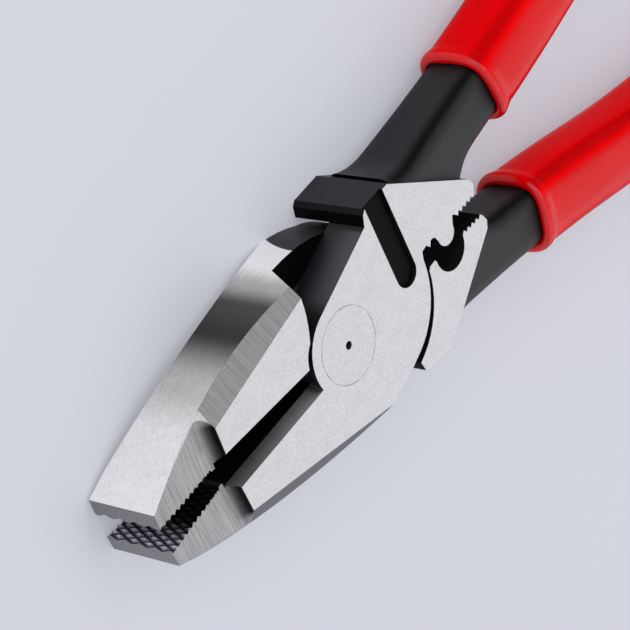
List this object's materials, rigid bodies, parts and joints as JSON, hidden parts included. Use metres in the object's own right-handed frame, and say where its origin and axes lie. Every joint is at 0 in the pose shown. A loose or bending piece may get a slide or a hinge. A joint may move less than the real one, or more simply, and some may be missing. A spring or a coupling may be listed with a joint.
{
  "type": "lineman pliers",
  "caption": "Lineman pliers with cross-knurled jaws, side cutters, a riveted lap joint, a crimping die behind the joint and red dipped grips.",
  "frame": {"origin": "the pivot axis, where it meets the flat side that the tool rests on", "axes": "+X along the tool towards the jaw tips, halfway between the levers; +Z along the pivot, up from the flat side"},
  "size_m": [0.2422, 0.0682, 0.016],
  "materials": {
    "lever_steel": "ground bright on the flats, black oxide elsewhere",
    "rivet_steel": "ground flush",
    "grip_red": "glossy dipped vinyl"
  },
  "bodies": {
    "lower_jaw_lever": {"lever_lower_jaw": "lever_steel", "pivot_rivet": "rivet_steel", "grip_upper": "grip_red"},
    "upper_jaw_lever": {"lever_upper_jaw": "lever_steel", "grip_lower": "grip_red"}
  },
  "joints": [
    {"name": "pivot", "type": "hinge", "parent": "lower_jaw_lever", "child": "upper_jaw_lever", "pos_m": [0, 0, 0.008], "axis": [0, 0, -1], "range_deg": [-4.9, 25]}
  ]
}
